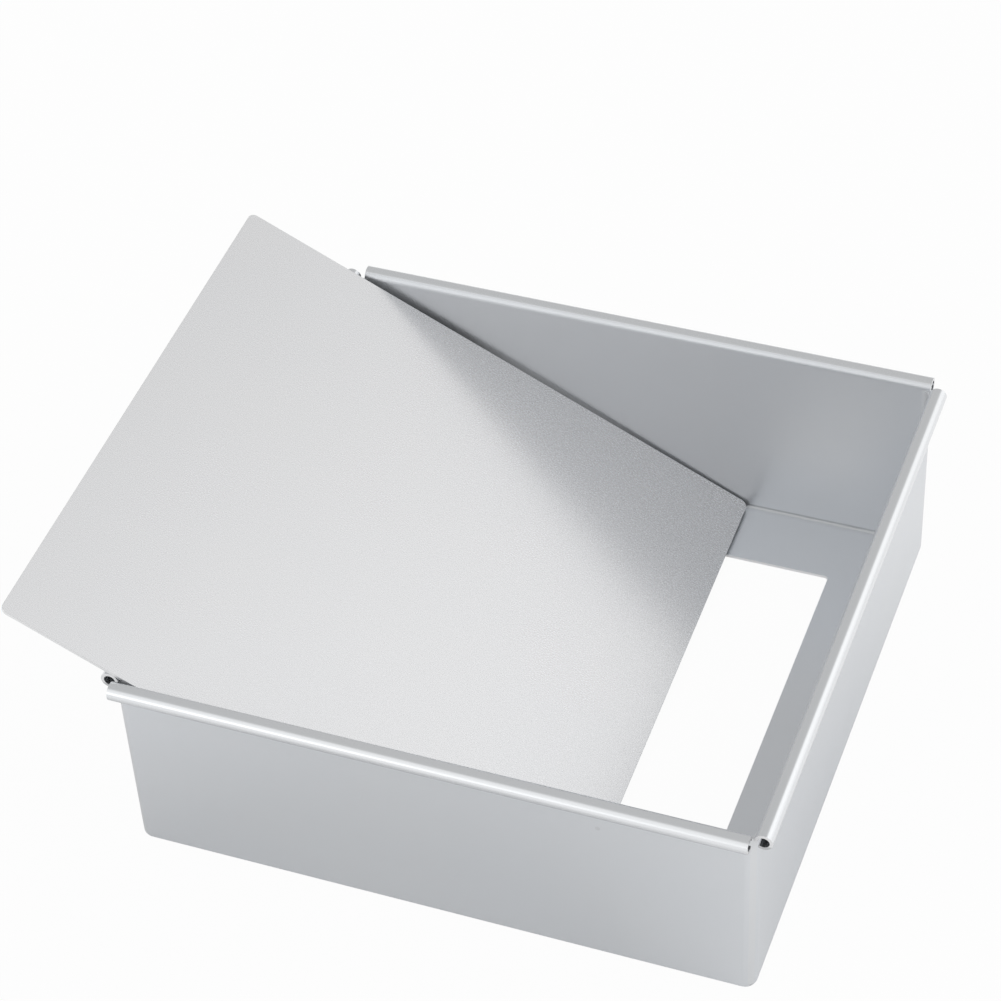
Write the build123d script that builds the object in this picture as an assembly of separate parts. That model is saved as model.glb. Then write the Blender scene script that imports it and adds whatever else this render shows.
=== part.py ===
from build123d import *
from math import acos, asin, atan2, cos, degrees, hypot, radians, sin
import os

# Square cake pan with a loose base plate, which leans in the open pan and over its left rim.
# Millimetres, +Z up. The origin is the middle of the pan's base, on the table that it stands on.
# The front wall faces -Y, and the plate's raised edge is towards -X.

# Pan body: one folded sheet
rim_inner_width = 200.0  # between opposite walls, where the rolled rim begins
rim_height = 72.2  # top of the rolled rim above the table
sheet = 1.0
wall_flare = 0.3  # how far each wall leans out between its foot and the rolled rim
fold_radius = 1.2  # inside of the folds between the walls and the base
corner_radius = 3.0  # inside of the upright corners
weld_width = 2.2  # of the ground weld up the middle of each corner
ledge_width = 25.1  # of the ring left round the base opening, from a wall's inner face
opening_corner_radius = 1.5

# Rolled rim: each wall's top edge is curled outwards into an open-ended roll
roll_radius = 2.85  # outside of the roll
roll_gap = 0.15  # between the sheet's free edge and the wall that it is curled back to
# Each roll stops short of the pan's sides, so that no two meet at a corner. Going round the
# pan from above, anticlockwise, a roll's first end is its near one and its last the far one.
side_roll_near_end = 0.2
side_roll_far_end = 1.9
front_roll_near_end = 0.2
front_roll_far_end = 1.6
back_roll_near_end = 1.0
back_roll_far_end = 2.6

# Loose base plate
plate_thickness = 1.0
plate_clearance = 1.05  # between a plate's edge and a wall's foot when it lies flat
plate_corner_radius = 2.5
plate_edge_softening = 0.1  # on the plate's two long outlines, deburred
plate_back_off = 59.8  # from the right wall's foot to the lower edge of the leaning plate
plate_shift = 0.45  # the leaning plate lies this far from the middle, towards the back wall
plate_askew = 1.45  # it lies askew in its own plane, the back end of its lower edge this far up
seat_gap = 0.3  # left between the plate and what it leans on

overrun = 5.0  # how far a cutting block runs past what it cuts

fold_outer_radius = fold_radius + sheet
corner_outer_radius = corner_radius + sheet
roll_start = rim_height - roll_radius  # a wall runs into its roll at this height
rim_outer_width = rim_inner_width + 2 * sheet
foot_outer_width = rim_outer_width - 2 * wall_flare
foot_inner_width = foot_outer_width - 2 * sheet
opening_width = foot_inner_width - 2 * ledge_width
plate_side = foot_inner_width - 2 * plate_clearance


def outer_width(height):
    return foot_outer_width + 2 * wall_flare * height / roll_start


def flared_block(foot, top, inset):
    # a block with the walls' lean, its sides inset from the pan's outer faces
    ends = [outer_width(height) - 2 * inset for height in (foot, top)]
    foot_face = Plane.XY.offset(foot) * Rectangle(ends[0], ends[0])
    top_face = Plane.XY.offset(top) * Rectangle(ends[1], ends[1])
    return loft([foot_face, top_face])


def round_folds(block, fold, corner):
    # the four upright edges first, then the outline of the base
    upright = block.edges() - block.edges().group_by(Axis.Z)[0] - block.edges().group_by(Axis.Z)[-1]
    block = fillet(upright, corner)
    return fillet(block.faces().sort_by(Axis.Z)[0].edges(), fold)


def folded_tray():
    outside = round_folds(flared_block(0, roll_start, 0), fold_outer_radius, corner_outer_radius)
    inside = flared_block(sheet, roll_start + overrun, sheet)
    inside = round_folds(inside, fold_radius, corner_radius)
    opening = extrude(
        RectangleRounded(opening_width, opening_width, opening_corner_radius),
        amount=overrun,
        both=True,
    )
    return outside - inside - opening


def weld_block(side_x, side_y):
    # stands through the middle of one corner, as wide as the weld, from the fold to the roll
    reach = fold_outer_radius + corner_outer_radius + overrun
    height = roll_start + overrun - fold_outer_radius
    middle = foot_outer_width / 2 - corner_outer_radius
    block = Pos(X=reach / 2) * Box(reach, weld_width, height)
    angle = degrees(atan2(side_y, side_x))
    place = Pos(side_x * middle, side_y * middle, fold_outer_radius + height / 2)
    return place * Rot(Z=angle) * block


def rim_roll(near_end, far_end):
    # the roll on the right wall: it turns from the wall's top, over and back under
    tip_angle = degrees(acos((sheet + roll_gap - roll_radius) / roll_radius))
    turn = 180 + tip_angle
    outer = CenterArc((0, 0), roll_radius, 180, -turn)
    inner = CenterArc((0, 0), roll_radius - sheet, 180, -turn)
    profile = make_face([outer, inner, Line(outer @ 0, inner @ 0), Line(outer @ 1, inner @ 1)])
    centre_x = rim_inner_width / 2 + roll_radius
    last_y = rim_outer_width / 2 - far_end
    section = Plane(origin=(centre_x, last_y, roll_start), x_dir=(1, 0, 0), z_dir=(0, -1, 0))
    return extrude(section * profile, amount=rim_outer_width - near_end - far_end)


def leaning_plate():
    # its lower edge is on the front and back ledges, its underside on the left rim's roll
    plate = extrude(
        RectangleRounded(plate_side, plate_side, plate_corner_radius), amount=plate_thickness
    )
    outlines = plate.edges().group_by(Axis.Z)
    plate = fillet(outlines[0] + outlines[-1], plate_edge_softening)
    low_x = foot_inner_width / 2 - plate_back_off
    low_z = sheet + seat_gap
    run = low_x + rim_inner_width / 2 + roll_radius
    rise = roll_start - low_z
    lean = degrees(atan2(rise, run) + asin((roll_radius + seat_gap) / hypot(run, rise)))
    print("plate leans by", round(lean, 3), "degrees, lower edge at x", round(low_x, 3))
    print("its own plane runs up along", round(-cos(radians(lean)), 5), 0, round(sin(radians(lean)), 5))
    turn = degrees(asin(plate_askew / plate_side))
    plate = Pos(X=-plate_askew / 2) * Rot(Z=turn) * Pos(X=-plate_side / 2) * plate
    return Pos(low_x, plate_shift, low_z) * Rot(Y=lean) * plate


tray = folded_tray()
weld_names = {
    "weld_front_left": (-1, -1),
    "weld_front_right": (1, -1),
    "weld_back_left": (-1, 1),
    "weld_back_right": (1, 1),
}
parts = {}
shell = tray
for name, (side_x, side_y) in weld_names.items():
    block = weld_block(side_x, side_y)
    parts[name] = tray & block
    shell -= block
side_roll = rim_roll(side_roll_near_end, side_roll_far_end)
shell += side_roll
shell += Rot(Z=90) * rim_roll(back_roll_near_end, back_roll_far_end)
shell += Rot(Z=180) * side_roll
shell += Rot(Z=270) * rim_roll(front_roll_near_end, front_roll_far_end)
parts["pan_shell"] = shell
parts["base_plate"] = leaning_plate()

os.makedirs("parts", exist_ok=True)
for name, solid in parts.items():
    export_step(solid, f"parts/{name}.step")
    print(name, round(solid.volume), "mm3")
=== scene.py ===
import math

import bmesh
import bpy
from mathutils import Matrix, Quaternion, Vector


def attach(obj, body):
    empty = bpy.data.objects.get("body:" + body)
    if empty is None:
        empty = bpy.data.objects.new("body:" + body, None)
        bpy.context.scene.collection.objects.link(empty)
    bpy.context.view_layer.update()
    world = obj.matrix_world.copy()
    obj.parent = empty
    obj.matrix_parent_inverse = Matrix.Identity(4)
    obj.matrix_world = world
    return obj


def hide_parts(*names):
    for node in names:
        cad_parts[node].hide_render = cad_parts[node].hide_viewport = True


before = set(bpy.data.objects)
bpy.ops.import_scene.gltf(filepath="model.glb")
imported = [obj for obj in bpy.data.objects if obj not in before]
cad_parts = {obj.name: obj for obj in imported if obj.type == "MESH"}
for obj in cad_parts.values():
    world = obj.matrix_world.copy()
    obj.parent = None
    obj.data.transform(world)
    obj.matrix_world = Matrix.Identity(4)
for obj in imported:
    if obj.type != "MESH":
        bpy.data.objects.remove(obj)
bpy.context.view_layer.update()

# Square cake pan with a loose base plate. Metres; the front wall faces -Y, +Z is up.
mm = 0.001
tiny = 1e-6  # places that differ by less are the same
cutSnap = 1e-7  # a cut that passes a vertex this closely goes through it
levelOver = 0.9  # a face lies level when its normal's Z is over this, up or down
uprightUnder = 0.5  # and stands upright when it is under this
allWays = ((1, 0), (0, 1), (-1, 0), (0, -1))


def cutAcross(bm, point, normal):
    geom = bm.verts[:] + bm.edges[:] + bm.faces[:]
    bmesh.ops.bisect_plane(bm, geom=geom, dist=cutSnap, plane_co=point, plane_no=normal)


def moved(bm, matrix):
    bmesh.ops.transform(bm, matrix=matrix, verts=bm.verts[:])


def bevelled(bm, geom, offset, segments, affect="EDGES"):
    bmesh.ops.bevel(
        bm, geom=geom, offset=offset, offset_type="OFFSET", segments=segments, profile=0.5,
        affect=affect, clamp_overlap=True, material=-1,
    )


def edgeMiddle(edge):
    return (edge.verts[0].co + edge.verts[1].co) / 2


def edgeRise(edge):
    return abs(edge.verts[0].co.z - edge.verts[1].co.z)


def crispEdges(bm, degrees):
    # smooth shading, with a sharp edge wherever two faces meet at more than that angle
    for face in bm.faces:
        face.smooth = True
    for edge in bm.edges:
        sharp = len(edge.link_faces) != 2 or edge.calc_face_angle(0) > math.radians(degrees)
        edge.smooth = not sharp


def newObject(name, data):
    made = bpy.data.objects.new(name, data)
    bpy.context.scene.collection.objects.link(made)
    return made


def meshObject(bm, name, materials):
    mesh = bpy.data.meshes.new(name)
    bm.to_mesh(mesh)
    bm.free()
    for material in materials:
        mesh.materials.append(material)
    return newObject(name, mesh)


def asPiece(bm, name, materials, body, cadNode):
    piece = meshObject(bm, name, materials)
    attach(piece, body)
    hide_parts(cadNode)
    print(name, len(piece.data.polygons), "faces")


def newGroup(name, inputs, outputs):
    # a group of shader nodes whose sockets are all plain numbers
    group = bpy.data.node_groups.new(name, "ShaderNodeTree")
    for labels, way in ((inputs, "INPUT"), (outputs, "OUTPUT")):
        for label in labels:
            group.interface.new_socket(name=label, in_out=way, socket_type="NodeSocketFloat")
    given = group.nodes.new("NodeGroupInput").outputs
    result = group.nodes.new("NodeGroupOutput").inputs
    return group, given, result


def placeGroup(tree, group, **values):
    made = tree.nodes.new("ShaderNodeGroup")
    made.node_tree = group
    for key, value in values.items():
        made.inputs[key].default_value = value
    return made.outputs


def node(tree, kind, inputs=None, **settings):
    made = tree.nodes.new(kind)
    for key, value in settings.items():
        setattr(made, key, value)
    for key, value in (inputs or {}).items():
        socket = made.inputs[key]
        if isinstance(value, bpy.types.NodeSocket):
            tree.links.new(value, socket)
        else:
            socket.default_value = value
    return made


def calc(tree, operation, first, second=0.0, clamp=False):
    inputs = {0: first, 1: second}
    return node(tree, "ShaderNodeMath", inputs, operation=operation, use_clamp=clamp).outputs[0]


def vectorCalc(tree, operation, first, second):
    return node(tree, "ShaderNodeVectorMath", {0: first, 1: second}, operation=operation).outputs


def ramp(tree, value, start, end, first=0.0, last=1.0, curve="LINEAR"):
    # goes from first to last while the value goes from start to end
    inputs = {"Value": value, "From Min": start, "From Max": end, "To Min": first, "To Max": last}
    return node(tree, "ShaderNodeMapRange", inputs, interpolation_type=curve).outputs[0]


def mixColour(tree, share, first, second):
    inputs = {0: share, 6: first, 7: second}
    return node(tree, "ShaderNodeMix", inputs, data_type="RGBA").outputs[2]


rolling = {
    "fine": 2600.0,  # across the lines, at a scale of 1
    "sideways": 0.7,  # on faces that look sideways by more than this the lines stand upright
    "lines": {"Scale": 1.0, "Detail": 4.0, "Roughness": 0.65},
    "cloud": {"Scale": 14.0, "Detail": 3.0, "Roughness": 0.5},
}


def rollingGrainGroup():
    # fine lines left by the rolling mill, along X on level sheet and up the side walls
    group, given, result = newGroup("rollingGrain", ["Scale", "Stretch"], ["Lines", "Cloud"])
    place = node(group, "ShaderNodeTexCoord").outputs["Object"]
    facing = node(group, "ShaderNodeTexCoord").outputs["Normal"]
    facingX = node(group, "ShaderNodeSeparateXYZ", {0: facing}).outputs["X"]
    onSide = calc(group, "GREATER_THAN", calc(group, "ABSOLUTE", facingX), rolling["sideways"])
    fine = calc(group, "MULTIPLY", given["Scale"], rolling["fine"])
    coarse = calc(group, "DIVIDE", fine, given["Stretch"])
    alongX = node(group, "ShaderNodeCombineXYZ", {0: coarse, 1: fine, 2: fine}).outputs[0]
    alongZ = node(group, "ShaderNodeCombineXYZ", {0: fine, 1: fine, 2: coarse}).outputs[0]
    ways = {0: onSide, 4: alongX, 5: alongZ}
    stretch = node(group, "ShaderNodeMix", ways, data_type="VECTOR").outputs[1]
    drawn = vectorCalc(group, "MULTIPLY", place, stretch)[0]
    lines = node(group, "ShaderNodeTexNoise", {"Vector": drawn, **rolling["lines"]})
    cloud = node(group, "ShaderNodeTexNoise", {"Vector": place, **rolling["cloud"]})
    group.links.new(lines.outputs[0], result["Lines"])
    group.links.new(cloud.outputs[0], result["Cloud"])
    return group


handling = {
    "clouds": {"Scale": 22.0, "Detail": 5.0, "Roughness": 0.6, "Distortion": 0.8},
    "smudgeFrom": 0.52,
    "smudgeFull": 0.78,
    "cells": {"Scale": 55.0, "Randomness": 1.0},
    "speckSize": 0.045,
    "bareCells": 0.86,  # share of the cells that have no speck
}


def handlingGroup():
    # faint smudges, and a few small specks from use
    group, given, result = newGroup("handlingMarks", ["Seed"], ["Smudge", "Specks"])
    place = node(group, "ShaderNodeTexCoord").outputs["Object"]
    shift = node(group, "ShaderNodeCombineXYZ", {0: given["Seed"], 1: given["Seed"]}).outputs[0]
    there = vectorCalc(group, "ADD", place, shift)[0]
    clouds = node(group, "ShaderNodeTexNoise", {"Vector": there, **handling["clouds"]}).outputs[0]
    smudge = ramp(
        group, clouds, handling["smudgeFrom"], handling["smudgeFull"], curve="SMOOTHSTEP"
    )
    cells = node(group, "ShaderNodeTexVoronoi", {"Vector": there, **handling["cells"]}).outputs
    near = calc(group, "LESS_THAN", cells["Distance"], handling["speckSize"])
    chance = node(group, "ShaderNodeSeparateColor", {0: cells["Color"]}).outputs[0]
    some = calc(group, "GREATER_THAN", chance, handling["bareCells"])
    group.links.new(smudge, result["Smudge"])
    group.links.new(calc(group, "MULTIPLY", near, some), result["Specks"])
    return group


# where the painted shade lies, which stands in for the shade in the inner folds and under the
# rolls
folds = {
    "innerReach": 99.85 * mm,  # the inner folds lie nearer to the pan's middle than this
    "innerFoot": (1.05 * mm, 1.3 * mm),  # no shade at the first height, all at the second
    "innerHead": (2.4 * mm, 1.9 * mm),
    "rollReach": 101.3 * mm,  # the rolls' undersides lie further out than this
    "rollFrom": 60 * mm,  # and higher than this
    "rollHead": (68.4 * mm, 67.7 * mm),
}


def paintedShadeGroup():
    # painted shade: darkens the colour in the inner folds between the walls and the ledge ring,
    # and on the undersides of the rolls
    group, _, result = newGroup("foldShade", [], ["Shade"])
    place = node(group, "ShaderNodeTexCoord").outputs["Object"]
    parts = node(group, "ShaderNodeSeparateXYZ", {0: place}).outputs
    offX, offY = (calc(group, "ABSOLUTE", parts[axis]) for axis in "XY")
    off = calc(group, "MAXIMUM", offX, offY)
    height = parts["Z"]
    inside = calc(group, "LESS_THAN", off, folds["innerReach"])
    foot = ramp(group, height, *folds["innerFoot"])
    head = ramp(group, height, *folds["innerHead"])
    inFold = calc(group, "MULTIPLY", inside, calc(group, "MULTIPLY", foot, head))
    outside = calc(group, "GREATER_THAN", off, folds["rollReach"])
    above = calc(group, "GREATER_THAN", height, folds["rollFrom"])
    onRoll = calc(group, "MULTIPLY", outside, above)
    underRoll = calc(group, "MULTIPLY", onRoll, ramp(group, height, *folds["rollHead"]))
    group.links.new(calc(group, "MAXIMUM", inFold, underRoll), result["Shade"])
    return group


grainGroup = rollingGrainGroup()
marksGroup = handlingGroup()
foldShadeGroup = paintedShadeGroup()


def sheetMetal(name, look):
    material = bpy.data.materials.new(name)
    material.use_nodes = True
    tree = material.node_tree
    shader = tree.nodes["Principled BSDF"]
    grain = placeGroup(tree, grainGroup, Scale=look["grainScale"], Stretch=look["grainStretch"])
    marks = placeGroup(tree, marksGroup, Seed=look["seed"])
    shade = placeGroup(tree, foldShadeGroup)
    colour = mixColour(tree, grain["Cloud"], look["colour"], look["coolColour"])
    # the smudges and specks are marks of use; the fold shade is painted shade in the inner folds
    # and under the rolls
    for mask, share, other in (
        (marks["Smudge"], look["smudge"], look["smudgeColour"]),
        (marks["Specks"], look["specks"], look["speckColour"]),
        (shade["Shade"], look["foldShade"], look["paintedShadeColour"]),
    ):
        colour = mixColour(tree, calc(tree, "MULTIPLY", mask, share), colour, other)
    tree.links.new(colour, shader.inputs["Base Color"])
    shader.inputs["Metallic"].default_value = look["metallic"]
    centred = calc(tree, "SUBTRACT", grain["Lines"], 0.5)
    lines = calc(tree, "MULTIPLY", centred, look["grainRough"])
    greased = calc(tree, "MULTIPLY", marks["Smudge"], look["smudgeRough"])
    varied = calc(tree, "ADD", lines, greased)
    rough = calc(tree, "ADD", varied, look["roughness"], clamp=True)
    tree.links.new(rough, shader.inputs["Roughness"])
    grooves = calc(tree, "MULTIPLY", grain["Lines"], look["grainDepth"])
    waves = calc(tree, "MULTIPLY", grain["Cloud"], look["waveDepth"])
    relief = calc(tree, "ADD", grooves, waves)
    bump = node(tree, "ShaderNodeBump", {"Height": relief, "Strength": 1.0, "Distance": mm})
    tree.links.new(bump.outputs[0], shader.inputs["Normal"])
    return material


panLook = {
    "colour": (0.752, 0.768, 0.785, 1),
    "coolColour": (0.732, 0.755, 0.788, 1),
    "metallic": 0.80,
    "roughness": 0.38,
    "grainScale": 1.0,
    "grainStretch": 40.0,
    "grainRough": 0.10,
    "grainDepth": 0.004,
    "waveDepth": 0.01,
    "seed": 0.0,
    "smudge": 0.08,
    "smudgeColour": (0.70, 0.715, 0.73, 1),
    "smudgeRough": 0.03,
    "specks": 0.35,
    "speckColour": (0.55, 0.56, 0.57, 1),
    # painted shade in the inner folds and under the rolls
    "foldShade": 0.6,
    "paintedShadeColour": (0.40, 0.41, 0.42, 1),
}
plateLook = dict(
    panLook, colour=(0.84, 0.84, 0.845, 1), coolColour=(0.82, 0.825, 0.84, 1), metallic=0.66,
    roughness=0.27, seed=3.7, smudge=0.03, smudgeRough=0.01, waveDepth=0.0, specks=0.2,
    foldShade=0.0,
)
weldLook = dict(
    panLook, colour=(0.77, 0.78, 0.79, 1), coolColour=(0.75, 0.765, 0.785, 1), roughness=0.40,
    seed=9.1,
)
rollLook = dict(  # burnished where the curling tool pressed it
    panLook, colour=(0.81, 0.82, 0.832, 1), coolColour=(0.79, 0.808, 0.83, 1), metallic=0.92,
    roughness=0.22, grainRough=0.06, seed=6.4,
)
cutLook = dict(
    panLook, colour=(0.88, 0.88, 0.885, 1), coolColour=(0.84, 0.845, 0.86, 1), seed=5.3,
    smudge=0.2,
)

panMetal = sheetMetal("satinPanSheet", panLook)
rollMetal = sheetMetal("burnishedRoll", rollLook)
plateMetal = sheetMetal("satinPlateSheet", plateLook)
weldMetal = sheetMetal("groundWeld", weldLook)
cutMetal = sheetMetal("sheetCutEdge", cutLook)
print("materials made")

# Pan body: one folded sheet whose four top edges are curled into open rolls
pan = {
    "footWidth": 201.4 * mm,  # over the folds
    "rimWidth": 202.0 * mm,  # over the walls, where the rolls begin
    "rollStart": 69.35 * mm,
    "sheet": 1.0 * mm,
    "foldRadius": 2.2 * mm,  # outside, between walls and base
    "foldSteps": 10,
    "cornerRadius": 4.0 * mm,  # outside, of the upright corners
    "cornerSteps": 16,
    "weldWidth": 2.2 * mm,
    "opening": 149.2 * mm,
    "openingRadius": 1.5 * mm,
    "rollRadius": 2.85 * mm,  # outside
    "rollGap": 0.15 * mm,
    "rollSteps": 60,
    "rollEnds": [  # how far short of the sides: front, right, back, left, each anticlockwise
        (0.2 * mm, 1.6 * mm),
        (0.2 * mm, 1.9 * mm),
        (1.0 * mm, 2.6 * mm),
        (0.2 * mm, 1.9 * mm),
    ],
    "holding": 0.25 * mm,  # cuts this far beside a fold keep the walls and the ledge flat
    "cornerCut": 3 * mm,  # and cuts this far beside a corner keep the walls flat there
    "wallCuts": (20 * mm, 40 * mm, 60 * mm),  # heights of the cuts across the walls
    "longEdge": 10 * mm,  # a longer edge is a straight side, a shorter one a step of a rounding
    "aside": 10 * mm,  # an edge further out than this towards a side belongs to that side
    "middle": 1 * mm,  # the face that fills the opening is centred within this of the origin
    "crispOver": 32,  # degrees between two faces that meet in a sharp edge
}
panHalf = pan["rimWidth"] / 2
straight = panHalf - pan["cornerRadius"]  # the walls are straight as far as this


def panSkin():
    # the outer skin of walls, folds and ledge
    bm = bmesh.new()
    bmesh.ops.create_cube(bm, size=1)
    for vert in bm.verts:
        width = pan["rimWidth"] if vert.co.z > 0 else pan["footWidth"]
        height = pan["rollStart"] if vert.co.z > 0 else 0.0
        x, y = (math.copysign(width / 2, side) for side in vert.co.xy)
        vert.co = Vector((x, y, height))
    upright = [e for e in bm.edges if edgeRise(e) > pan["longEdge"]]
    bevelled(bm, upright, pan["cornerRadius"], pan["cornerSteps"])
    foot = [e for e in bm.edges if all(v.co.z < tiny for v in e.verts)]
    bevelled(bm, foot, pan["foldRadius"], pan["foldSteps"])
    lid = [f for f in bm.faces if f.normal.z > levelOver]
    base = max((f for f in bm.faces if f.normal.z < -levelOver), key=lambda f: f.calc_area())
    baseEdges = base.edges[:]
    bmesh.ops.delete(bm, geom=lid + [base], context="FACES_ONLY")
    ring = bmesh.ops.create_grid(bm, x_segments=1, y_segments=1, size=pan["opening"] / 2)
    bevelled(bm, ring["verts"], pan["openingRadius"], pan["cornerSteps"], "VERTICES")
    window = [
        f for f in bm.faces
        if abs(f.normal.z) > levelOver and f.calc_center_median().length < pan["middle"]
    ]
    windowEdges = window[0].edges[:]
    bmesh.ops.delete(bm, geom=window, context="FACES_ONLY")
    for sideX, sideY in allWays:  # one straight side of the ledge ring and the corner after it
        for isLong, way in ((True, (sideX, sideY, 0)), (False, (sideX - sideY, sideX + sideY, 0))):
            facing = [
                e for e in baseEdges + windowEdges
                if (e.calc_length() > pan["longEdge"]) == isLong
                and edgeMiddle(e).dot(Vector(way)) > pan["aside"]
            ]
            bmesh.ops.bridge_loops(bm, edges=facing)
    bmesh.ops.recalc_face_normals(bm, faces=bm.faces[:])
    for sideX, sideY in allWays:
        way = Vector((sideX, sideY, 0))
        for out in (straight, straight - pan["cornerCut"], pan["opening"] / 2 + pan["holding"]):
            cutAcross(bm, way * out, way)
        across = Vector((sideX - sideY, sideX + sideY, 0)).normalized()
        cutAcross(bm, across * pan["weldWidth"] / 2, across)
    for height in (pan["foldRadius"], pan["foldRadius"] + pan["holding"], *pan["wallCuts"]):
        cutAcross(bm, (0, 0, height), (0, 0, 1))
    return bm


def curlRim(bm, nearEnd, farEnd):
    # the top edge of the wall that faces -Y is spun into a roll, whose ends are then drawn out
    start = [
        e for e in bm.edges
        if all(
            abs(v.co.z - pan["rollStart"]) < tiny and abs(v.co.y + panHalf) < tiny
            and abs(v.co.x) < straight + tiny
            for v in e.verts
        )
    ]
    ends = list({v for e in start for v in e.verts})
    radius, sheet = pan["rollRadius"], pan["sheet"]
    tip = math.degrees(math.acos((sheet + pan["rollGap"] - radius) / radius))
    before = set(bm.verts)
    bmesh.ops.spin(
        bm, geom=start + ends, cent=(0, -panHalf - (radius - sheet), pan["rollStart"]),
        axis=(1, 0, 0), dvec=(0, 0, 0), angle=math.radians(180 + tip), steps=pan["rollSteps"],
        use_merge=False, use_duplicate=False,
    )
    curl = {v for v in bm.verts if v not in before} | set(ends)
    for side, end in ((-1, -panHalf + nearEnd), (1, panHalf - farEnd)):
        openEnd = [
            e for e in bm.edges
            if e.is_boundary
            and all(v in curl and abs(v.co.x - side * straight) < tiny for v in e.verts)
        ]
        for drawn in bmesh.ops.extrude_edge_only(bm, edges=openEnd)["geom"]:
            if isinstance(drawn, bmesh.types.BMVert):
                drawn.co.x = end


def inWeld(face):
    # the strip up the middle of one corner, above the fold and below the rolls
    middle = face.calc_center_median()
    return (
        abs(abs(middle.x) - abs(middle.y)) < pan["weldWidth"] / math.sqrt(2)
        and abs(face.normal.z) < uprightUnder
        and pan["foldRadius"] < middle.z < pan["rollStart"]
    )


def atCorner(face, sideX, sideY):
    middle = face.calc_center_median()
    return middle.x * sideX > 0 and middle.y * sideY > 0


def thickened(skin, keep):
    # part of the skin given the sheet's thickness: the second material is for its narrow cut
    # faces, the third for the rolls
    bm = skin.copy()
    bmesh.ops.delete(bm, geom=[f for f in bm.faces if not keep(f)], context="FACES")
    outside = set(bm.verts)
    bmesh.ops.solidify(bm, geom=bm.faces[:], thickness=pan["sheet"])
    for face in bm.faces:
        middle = face.calc_center_median()
        isCut = 0 < sum(v in outside for v in face.verts) < len(face.verts)
        onRoll = max(abs(middle.x), abs(middle.y)) > panHalf
        face.material_index = 1 if isCut else 2 * int(onRoll)
    crispEdges(bm, pan["crispOver"])
    return bm


skin = panSkin()
for quarter, ends in enumerate(pan["rollEnds"]):
    turn = Matrix.Rotation(math.radians(-90 * quarter), 4, "Z")
    moved(skin, turn)
    curlRim(skin, *ends)
    moved(skin, turn.inverted())
bmesh.ops.recalc_face_normals(skin, faces=skin.faces[:])
walls = [f for f in skin.faces if abs(f.normal.z) < uprightUnder]
widest = max(walls, key=lambda f: f.calc_area())
if widest.normal.dot(widest.calc_center_median()) < 0:
    bmesh.ops.reverse_faces(skin, faces=skin.faces[:])
print("pan skin", len(skin.faces), "faces")

shell = thickened(skin, lambda f: not inWeld(f))
shellMetals = [panMetal, cutMetal, rollMetal]
asPiece(shell, "pan_shell_sheet", shellMetals, "pan", "pan_shell")
for name, sideX, sideY in (
    ("weld_front_left", -1, -1),
    ("weld_front_right", 1, -1),
    ("weld_back_left", -1, 1),
    ("weld_back_right", 1, 1),
):
    bead = thickened(skin, lambda f: inWeld(f) and atCorner(f, sideX, sideY))
    asPiece(bead, name + "_bead", [weldMetal, weldMetal], "pan", name)
skin.free()

# Loose base plate, leaning in the pan and over its left rim
plate = {
    "side": 197.3 * mm,
    "thickness": 1.0 * mm,
    "cornerRadius": 2.5 * mm,
    "cornerSteps": 10,
    "edge": 0.1 * mm,
    "edgeSteps": 2,
    "lean": 26.62884,  # degrees
    "askew": 1.45 * mm,  # the back end of its lower edge lies this far further up
    "lowEdge": (39.9 * mm, 0.45 * mm, 1.3 * mm),  # its middle, on the plate's underside
    "squareOver": 60,  # degrees between two faces whose edge is softened
    "crispOver": 20,
}


def loosePlate():
    side, thickness = plate["side"], plate["thickness"]
    bm = bmesh.new()
    bmesh.ops.create_cube(bm, size=1)
    moved(bm, Matrix.Diagonal((side, side, thickness, 1)))
    moved(bm, Matrix.Translation((-side / 2, 0, thickness / 2)))
    upright = [e for e in bm.edges if edgeRise(e) > thickness / 2]
    bevelled(bm, upright, plate["cornerRadius"], plate["cornerSteps"])
    outline = [
        e for e in bm.edges
        if e.calc_face_angle(0) > math.radians(plate["squareOver"]) and edgeRise(e) < thickness / 2
    ]
    bevelled(bm, outline, plate["edge"], plate["edgeSteps"])
    askew = Matrix.Rotation(math.asin(plate["askew"] / side), 4, "Z")
    moved(bm, Matrix.Translation((-plate["askew"] / 2, 0, 0)) @ askew)
    lean = Matrix.Rotation(math.radians(plate["lean"]), 4, "Y")
    moved(bm, Matrix.Translation(plate["lowEdge"]) @ lean)
    bmesh.ops.recalc_face_normals(bm, faces=bm.faces[:])
    crispEdges(bm, plate["crispOver"])
    return bm


asPiece(loosePlate(), "base_plate_sheet", [plateMetal], "base", "base_plate")

# Floor, light and camera
stage = {
    "floorSize": 5.0,
    "floorDrop": 0.2 * mm,
    "floorColour": (0.82, 0.82, 0.82, 1),
    "floorCamera": 0.96,  # how much of the floor's plain white the camera sees
    "paintedShadowMirrored": 0.17,  # of the floor's white that the metal shows close to the pan; the lower share there is a painted shadow
    "mirroredFar": 0.95,  # and far from it
    # middle of the painted shadow round the pan that the metal sees in the floor
    "shadeMiddle": (-0.02, -0.045, 0.0),
    "nearBy": 0.095,  # the change from near to far starts this far from shadeMiddle
    "farOff": 0.21,  # and ends this far from it
    "level": 0.585,  # of the light that comes from everywhere
    "glows": [  # towards, strength, degrees from its middle to where it starts to fade and ends
        ((0.85, 0.35, 0.40), 0.56, 32, 46),
        ((-0.62, -0.78, -0.14), 0.70, 16, 42),
        ((-0.36, -0.78, 0.52), 0.46, 12, 40),
    ],
}
softBox = {
    "size": 1.2,
    "energy": 0.5,
    "place": (1.5, 0.9, 1.2),
    "aim": (0, 0, 0.03),
}
view = {
    "place": (0.26784, -0.68916, 0.78464),
    "aim": (-0.045117, 0.080197, -0.002308),
    "roll": -3.398,  # degrees
    "lens": 117.98,
    "sensor": 36.0,
    "clipStart": 0.05,
}


def turnedTo(place, aim):
    return (Vector(aim) - Vector(place)).to_track_quat("-Z", "Y")


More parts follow.
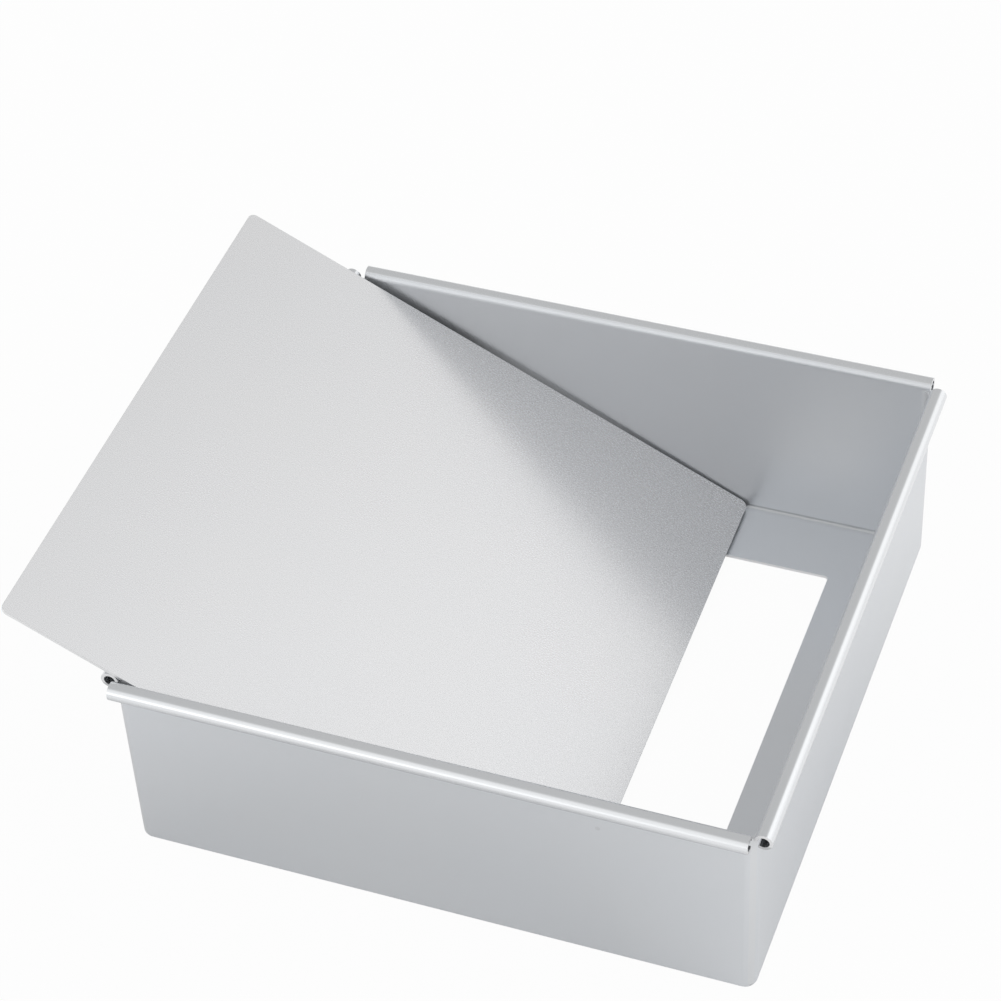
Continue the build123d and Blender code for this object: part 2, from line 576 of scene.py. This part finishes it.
def floorMaterial():
    # plain white to the camera, matt to the light, and in the metal a white that falls off close
    # to the pan, a painted shadow that only reflections show
    material = bpy.data.materials.new("paleFloor")
    material.use_nodes = True
    tree = material.node_tree
    tree.nodes.remove(tree.nodes["Principled BSDF"])
    plain = node(tree, "ShaderNodeEmission", {"Color": (1, 1, 1, 1), "Strength": 1.0})
    matt = node(tree, "ShaderNodeBsdfDiffuse", {"Color": stage["floorColour"]})
    ray = node(tree, "ShaderNodeLightPath").outputs
    clear = calc(tree, "MAXIMUM", ray["Is Camera Ray"], ray["Is Transmission Ray"])
    seen = calc(tree, "MULTIPLY", clear, stage["floorCamera"])
    place = node(tree, "ShaderNodeTexCoord").outputs["Object"]
    away = vectorCalc(tree, "DISTANCE", place, stage["shadeMiddle"])["Value"]
    # painted shadow: the white that the metal sees falls off towards shadeMiddle
    white = ramp(
        tree, away, stage["nearBy"], stage["farOff"], stage["paintedShadowMirrored"], stage["mirroredFar"]
    )
    mirrored = calc(tree, "MULTIPLY", ray["Is Glossy Ray"], white)
    shown = {
        0: calc(tree, "MAXIMUM", seen, mirrored),
        1: matt.outputs[0],
        2: plain.outputs[0],
    }
    mixed = node(tree, "ShaderNodeMixShader", shown)
    tree.links.new(mixed.outputs[0], tree.nodes["Material Output"].inputs["Surface"])
    return material


def paleFloor():
    bm = bmesh.new()
    bmesh.ops.create_grid(bm, x_segments=1, y_segments=1, size=stage["floorSize"])
    moved(bm, Matrix.Translation((0, 0, -stage["floorDrop"])))
    meshObject(bm, "floor", [floorMaterial()])


def backdrop():
    world = bpy.data.worlds.new("studio")
    bpy.context.scene.world = world
    world.use_nodes = True
    tree = world.node_tree
    back = tree.nodes["Background"]
    way = node(tree, "ShaderNodeTexCoord").outputs["Generated"]
    level = stage["level"]
    for towards, strength, full, faded in stage["glows"]:
        facing = vectorCalc(tree, "DOT_PRODUCT", way, Vector(towards).normalized())["Value"]
        start, end = (math.cos(math.radians(angle)) for angle in (faded, full))
        glow = ramp(tree, facing, start, end, last=strength, curve="SMOOTHSTEP")
        level = calc(tree, "ADD", level, glow)
    tree.links.new(level, back.inputs["Strength"])
    back.inputs["Color"].default_value = (1, 1, 1, 1)


def backRightBox():
    lamp = bpy.data.lights.new("backRightBox", "AREA")
    lamp.shape = "RECTANGLE"
    lamp.size = lamp.size_y = softBox["size"]
    lamp.energy = softBox["energy"]
    box = newObject("backRightBox", lamp)
    box.location = softBox["place"]
    box.rotation_mode = "QUATERNION"
    box.rotation_quaternion = turnedTo(softBox["place"], softBox["aim"])
    box.visible_camera = False


def photoCamera():
    data = bpy.data.cameras.new("camera")
    data.lens = view["lens"]
    data.sensor_width = view["sensor"]
    data.clip_start = view["clipStart"]
    camera = newObject("camera", data)
    camera.location = view["place"]
    camera.rotation_mode = "QUATERNION"
    roll = Quaternion((0, 0, 1), math.radians(view["roll"]))
    camera.rotation_quaternion = turnedTo(view["place"], view["aim"]) @ roll
    bpy.context.scene.camera = camera


paleFloor()
backdrop()
backRightBox()
photoCamera()
bpy.context.scene.view_settings.view_transform = "Standard"
print("floor, light and camera set")

bpy.context.view_layer.update()
